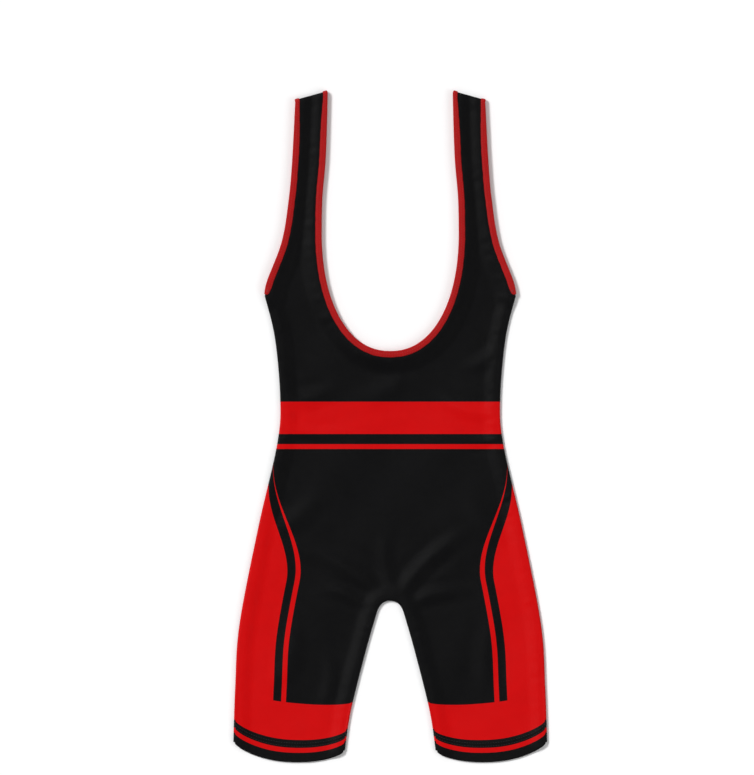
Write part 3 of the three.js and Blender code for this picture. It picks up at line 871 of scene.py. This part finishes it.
def stitches(name, rows, material, length=STITCH_LENGTH, single=False):
    """Rows of separate thread stitches. A row is its dense points and the way out of the cloth."""
    turn = (np.arange(STITCH_SIDES) * 2 * math.pi / STITCH_SIDES)[:, None]
    girth = STITCH_GIRTH[:, None, None]
    points, faces, total = [], [], 0
    for row, out in rows:
        along = lengths_along(row)
        starts = np.arange(STITCH_PITCH * 0.4, along[-1] - length, STITCH_PITCH)
        if single:
            starts = np.array([(along[-1] - length) / 2])
        at = starts[:, None] + STITCH_SHARES * length
        centre = read_along(at, along, row)
        away = unit(read_along(at, along, out))
        ahead = unit(np.gradient(centre, axis=1))
        across = unit(np.cross(ahead, away))
        centre = centre + away * STITCH_HEIGHT[:, None]
        ring = (
            centre[:, :, None]
            + away[:, :, None] * (np.sin(turn) * girth)
            + across[:, :, None] * (np.cos(turn) * girth)
        )
        index = np.arange(ring[..., 0].size).reshape(ring.shape[:-1]) + total
        near, far = index[:, :-1], index[:, 1:]
        quads = np.stack([near, np.roll(near, -1, 2), np.roll(far, -1, 2), far], -1)
        faces += quads.reshape(-1, 4).tolist()
        faces += index[:, 0, ::-1].tolist() + index[:, -1].tolist()
        points.append(ring.reshape(-1, 3))
        total += ring[..., 0].size
    piece = mesh_object(name, np.concatenate(points), faces, material)
    closed(piece.data)
    return piece


def hem_stitch_rows():
    """Twin rows of stitches round each hem, on the outside of both panels."""
    found = []
    for height in HEM_STITCH_ROWS:
        rows = leg_rows(np.array([height, height + 0.001]))
        s = survey(rows["plan"])
        rows["down"] = np.zeros(rows["plan"].shape)
        for layer, up in (("front", 1), ("back", -1)):
            for hand in (1, -1):
                rise = np.where(turned(rows), 0, relief(s, rows["above_hem"], hand, layer))
                over = 0.2 if up > 0 else -1.1  # the back's are sunk, to stay off the floor
                offset = np.full(2, OUTSIDE + THREAD * over)
                p = placed(rows, layer, offset, np.zeros(2), rise)[0]
                slope = rows["slope"][0]
                way = rows["outward"][0] * [hand, 1] * np.cos(slope)[:, None]
                found.append((in_frame(p, hand), with_z(way, up * np.sin(slope))))
    return found


def binding_stitch_rows(stations, is_ring):
    found = []
    for row, height in zip(BINDING_STITCH_ROWS, BINDING_DENTS):
        into = (stations["lip"] * (1 - row))[:, None]
        p = stations["point"] + stations["into"] * into
        p = in_frame(p + stations["away"] * (OUTSIDE + height + THREAD * 0.1))
        away = stations["away"]
        if is_ring:
            p, away = np.concatenate([p, p[:1]]), np.concatenate([away, away[:1]])
        found.append((p, away))
    return found


def bartack_rows(stations):
    """Close stitches across both ends of an armhole tape, at the underarm."""
    found = []
    along = lengths_along(stations["point"])
    for end in (1, -1):
        for i in range(BARTACK_STITCHES):
            at = BARTACK_IN + i * BARTACK_PITCH
            at = at if end > 0 else along[-1] - at
            point, into, away = (
                read_along(at, along, stations[key]) for key in ("point", "into", "away")
            )
            lip = np.interp(at, along, stations["lip"])
            across = np.linspace(*BARTACK_SPAN, 9)[:, None] * lip
            height = OUTSIDE + BARTACK_HEIGHT + THREAD * (0.3 if end > 0 else -0.6)
            p = in_frame(point + into * across + away * height)
            found.append((p, np.repeat(away[None], len(p), 0)))
    return found


def seam_stitch_rows():
    """Short stitches that cross from one panel to the other, along the sewn edges."""
    found = []
    turn = np.linspace(SEAM_STITCH_TURN, -SEAM_STITCH_TURN, 9)
    for path, outward_is, start, end in (
        (SIDE, "right", 0.004, 0.985),
        (CROTCH, "left", 0.004, 1.0),
    ):
        count = int((end - start) * path.total / SEAM_STITCH_PITCH)
        shares = np.linspace(0, 1, count)
        edge = row_ends(path, start, end, shares, "seam", outward_is)
        middle, radius = middle_and_radius(seam_level(edge))
        lean = path.way(start + (end - start) * shares) * SEAM_STITCH_LEAN
        for hand in (1, -1):
            for i in range(count):
                reach = radius[i] + PACKED_WALL / 2 + THREAD * 0.1
                base = edge["point"][i] - edge["outward"][i] * (PACKED_WALL / 2 + radius[i])
                plan = base + edge["outward"][i] * reach * np.cos(turn)[:, None]
                plan = plan + lean[i] * turn[:, None] / SEAM_STITCH_TURN
                p = in_frame(with_z(plan, middle[i] + reach * np.sin(turn)), hand)
                way = edge["outward"][i] * np.cos(turn)[:, None] * [hand, 1]
                found.append((p, with_z(way, np.sin(turn))))
    return found


# ---- materials ----


class Nodes:
    """Short calls for building the nodes of a material or a world."""

    def __init__(self, owner):
        owner.use_nodes = True
        self.owner = owner
        self.tree = owner.node_tree
        self.shader = self.tree.nodes.get("Principled BSDF")

    def link(self, source, target):
        if isinstance(source, (int, float)):
            target.default_value = source
        else:
            self.tree.links.new(source, target)

    def math(self, operation, a, b=0.0):
        node = self.tree.nodes.new("ShaderNodeMath")
        node.operation = operation
        self.link(a, node.inputs[0])
        self.link(b, node.inputs[1])
        return node.outputs[0]

    def attribute(self, name):
        node = self.tree.nodes.new("ShaderNodeAttribute")
        node.attribute_name = name
        return node.outputs["Fac"]

    def place(self, kind="Object"):
        """The place of a point, whole and as its x, y and z."""
        node = self.tree.nodes.new("ShaderNodeTexCoord")
        split = self.tree.nodes.new("ShaderNodeSeparateXYZ")
        self.tree.links.new(node.outputs[kind], split.inputs[0])
        return node.outputs[kind], split.outputs

    def between(self, value, limits):
        above = self.math("GREATER_THAN", value, limits[0])
        return self.math("MULTIPLY", above, self.math("LESS_THAN", value, limits[1]))

    def ranged(self, value, limits, results, curve="SMOOTHSTEP"):
        """Goes from the first result to the second while the value goes between the limits."""
        node = self.tree.nodes.new("ShaderNodeMapRange")
        node.interpolation_type = curve
        self.link(value, node.inputs["Value"])
        keys = ("From Min", "From Max", "To Min", "To Max")
        for key, number in zip(keys, (*limits, *results)):
            node.inputs[key].default_value = number
        return node.outputs[0]

    def noise(self, vector, scale, detail):
        node = self.tree.nodes.new("ShaderNodeTexNoise")
        self.tree.links.new(vector, node.inputs["Vector"])
        node.inputs["Scale"].default_value = scale
        node.inputs["Detail"].default_value = detail
        return node.outputs["Fac"]

    def mix(self, share, a, b):
        node = self.tree.nodes.new("ShaderNodeMix")
        node.data_type = "RGBA"
        self.link(share, node.inputs["Factor"])
        for source, key in ((a, "A"), (b, "B")):
            socket = [i for i in node.inputs if i.name == key and i.type == "RGBA"][0]
            if isinstance(source, tuple):
                socket.default_value = (*source, 1)
            else:
                self.tree.links.new(source, socket)
        return [o for o in node.outputs if o.type == "RGBA"][0]

    def bump(self, height, distance, strength=1.0):
        node = self.tree.nodes.new("ShaderNodeBump")
        node.inputs["Distance"].default_value = distance
        node.inputs["Strength"].default_value = strength
        self.link(height, node.inputs["Height"])
        self.tree.links.new(node.outputs[0], self.shader.inputs["Normal"])

    def varied(self, share, colour, dark, light):
        """A colour that goes from a darker to a lighter shade of itself."""
        return self.mix(share, tuple(c * dark for c in colour), tuple(c * light for c in colour))

    def roughness(self, wear, least, more):
        return self.math("ADD", least, self.math("MULTIPLY", wear, more))

    def shaded(self, **sources):
        """Sets or links the shader's inputs, and returns the material."""
        for key, source in sources.items():
            self.link(source, self.shader.inputs[key.replace("_", " ")])
        return self.owner


def linear(*srgb):
    """Linear values from the usual 0 to 255."""
    return tuple((c / 255 / 12.92) if c < 11 else ((c / 255 + 0.055) / 1.055) ** 2.4 for c in srgb)


def new_material(name):
    return Nodes(bpy.data.materials.new(name))


BLACK = linear(7, 7, 8)
RED = linear(196, 2, 4)
BINDING_RED = linear(160, 9, 11)
KNIT_DEPTH = 0.00009


def knit_height(nodes, across, along):
    """Warp knit: fine wales of little slanted loops. across and along are in metres."""
    wale, course = 0.00085, 0.00062  # the width and length of one loop
    ribs = nodes.math("SINE", nodes.math("MULTIPLY", across, 2 * math.pi / wale))
    lean = nodes.math("MULTIPLY", nodes.math("ABSOLUTE", ribs), 0.6)
    loop = nodes.math("ADD", nodes.math("MULTIPLY", along, 2 * math.pi / course), lean)
    loops = nodes.math("MULTIPLY", nodes.math("SINE", loop), 0.45)
    return nodes.math("ADD", nodes.math("MULTIPLY", ribs, 0.55), loops)


def panel_material():
    """Black stretch knit with red stripes printed into it."""
    nodes = new_material("stretch_knit")
    coords, (x, y, _) = nodes.place()
    up = nodes.math("SUBTRACT", y, HEM_Y)
    above_hem, from_side = nodes.attribute("above_hem"), nodes.attribute("from_side")
    printed_side = nodes.math("GREATER_THAN", above_hem, 0.0)
    edge = nodes.ranged(up, (SIDE_PANEL_FULL_AT, SIDE_PANEL_FROM), (SIDE_PANEL_WIDTH, 0))
    side = nodes.math("LESS_THAN", from_side, edge)
    rise = (SIDE_PANEL_FULL_AT, SIDE_LINE_FROM)
    line = nodes.between(from_side, [nodes.ranged(up, rise, (reach, 0)) for reach in SIDE_LINE])
    above_cuff = nodes.math("GREATER_THAN", above_hem, CUFF_BAND[0])
    stripes = nodes.math("MULTIPLY", nodes.math("MAXIMUM", side, line), above_cuff)
    for value, bands in ((up, (HOOP, HOOP_LINE)), (above_hem, (CUFF_BAND, CUFF_LINE))):
        for band in bands:
            stripes = nodes.math("MAXIMUM", stripes, nodes.between(value, band))
    ink = nodes.math("MULTIPLY", stripes, printed_side)
    wear = nodes.noise(coords, 55, 4)
    black = nodes.varied(wear, BLACK, 0.8, 1.3)
    red = nodes.varied(wear, RED, 0.93, 1.05)
    rough = nodes.math("MULTIPLY", ink, 0.04)
    rough = nodes.math("ADD", nodes.roughness(wear, 0.36, 0.1), rough)
    height = nodes.math("ADD", knit_height(nodes, x, y), nodes.math("MULTIPLY", wear, 1.2))
    nodes.bump(height, KNIT_DEPTH, 0.6)
    colour = nodes.mix(ink, black, red)
    return nodes.shaded(Base_Color=colour, Roughness=rough, Specular_IOR_Level=0.07)


def binding_material():
    """Dark red stretch tape, with fine ribs across its length."""
    nodes = new_material("binding_tape")
    coords, _ = nodes.place()
    along, around = nodes.attribute("along"), nodes.attribute("around")
    wear = nodes.noise(coords, 90, 3)
    nodes.bump(knit_height(nodes, along, around), KNIT_DEPTH, 0.7)
    return nodes.shaded(
        Base_Color=nodes.varied(wear, BINDING_RED, 0.86, 1.16),
        Roughness=nodes.roughness(wear, 0.46, 0.14),
        Specular_IOR_Level=0.13,
    )


def thread_material(name, colour):
    nodes = new_material(name)
    coords, _ = nodes.place()
    fibres = nodes.noise(coords, 5200, 1)
    nodes.bump(fibres, 0.00004)
    varied = nodes.varied(fibres, colour, 0.75, 1.25)
    return nodes.shaded(Base_Color=varied, Roughness=0.42, Specular_IOR_Level=0.4)


# ---- the scene ----


def floor():
    """A plain pale floor, which reaches far enough for a low view."""
    nodes = new_material("pale_floor")
    coords, _ = nodes.place()
    pale = nodes.mix(nodes.noise(coords, 3, 3), (0.91, 0.91, 0.912), (0.94, 0.94, 0.942))
    material = nodes.shaded(Base_Color=pale, Roughness=0.9, Specular_IOR_Level=0.1)
    corners = np.array([(-1, -1, 0), (1, -1, 0), (1, 1, 0), (-1, 1, 0)]) * FLOOR_REACH
    corners = corners - [0, 0, FLOOR_BELOW]
    return mesh_object("floor", corners, [[0, 1, 2, 3]], material)


def air():
    """Light from all round: less at the zenith, and white below the horizon."""
    nodes = Nodes(bpy.data.worlds.new("studio_air"))
    _, (_, _, z) = nodes.place("Generated")
    dome = nodes.ranged(z, (0, 1), (LIGHT_AT_HORIZON, LIGHT_AT_ZENITH), "LINEAR")
    background = nodes.tree.nodes["Background"].inputs
    background["Color"].default_value = (1, 1, 1, 1)
    nodes.link(nodes.math("MAXIMUM", nodes.math("LESS_THAN", z), dome), background["Strength"])
    return nodes.owner


def studio():
    """The floor, soft light and a camera straight above the singlet."""
    floor()
    scene = bpy.context.scene
    scene.view_settings.view_transform = "Standard"
    scene.world = air()
    for name, place, width, power in SUNS:
        light = bpy.data.lights.new(name, "SUN")
        light.angle = math.radians(width)
        light.energy = power
        lamp = bpy.data.objects.new(name, light)
        lamp.rotation_euler = (-Vector(place)).to_track_quat("-Z", "Y").to_euler()
        scene.collection.objects.link(lamp)

    camera = bpy.data.objects.new("camera", bpy.data.cameras.new("camera"))
    camera.data.type = "ORTHO"
    length = CAD_HIGH.y - CAD_LOW.y
    camera.data.ortho_scale = length * PICTURE_HEIGHT
    camera.location = (*(share * length for share in PICTURE_MIDDLE), CAMERA_HEIGHT)
    scene.collection.objects.link(camera)
    scene.camera = camera


def build():
    knit, tape = panel_material(), binding_material()
    black_thread = thread_material("black_thread", linear(26, 26, 28))
    red_thread = thread_material("red_thread", linear(150, 20, 22))
    *grids, first_chest_row = half_grid()

    front = panel("front_cloth", "front", grids, first_chest_row, knit)
    back = panel("back_cloth", "back", grids, first_chest_row, knit)
    hems = stitches("hem_stitches", hem_stitch_rows(), black_thread)
    seams = stitches("seam_stitches", seam_stitch_rows(), black_thread, SEAM_STITCH, True)

    tapes = [("neck_tape", "neck_binding", neck_stations(), True)]
    for side, hand in (("left", 1), ("right", -1)):
        stations = arm_stations(hand)
        tapes.append((f"armhole_tape_{side}", f"armhole_binding_{side}", stations, False))
    for name, node, stations, is_ring in tapes:
        piece = binding(name, stations, is_ring, tape)
        rows = binding_stitch_rows(stations, is_ring)
        threads = [stitches(name + "_stitches", rows, red_thread)]
        if not is_ring:
            rows = bartack_rows(stations)
            bartacks = stitches(name + "_bartacks", rows, red_thread, BARTACK_STITCH, True)
            threads.append(bartacks)
        for each in (piece, *threads):
            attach(each, "root")
        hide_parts(node)

    for piece, node in ((front, "front_panel"), (back, "back_panel")):
        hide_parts(node)
    for piece in (front, back, hems, seams):
        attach(piece, "root")


studio()
build()
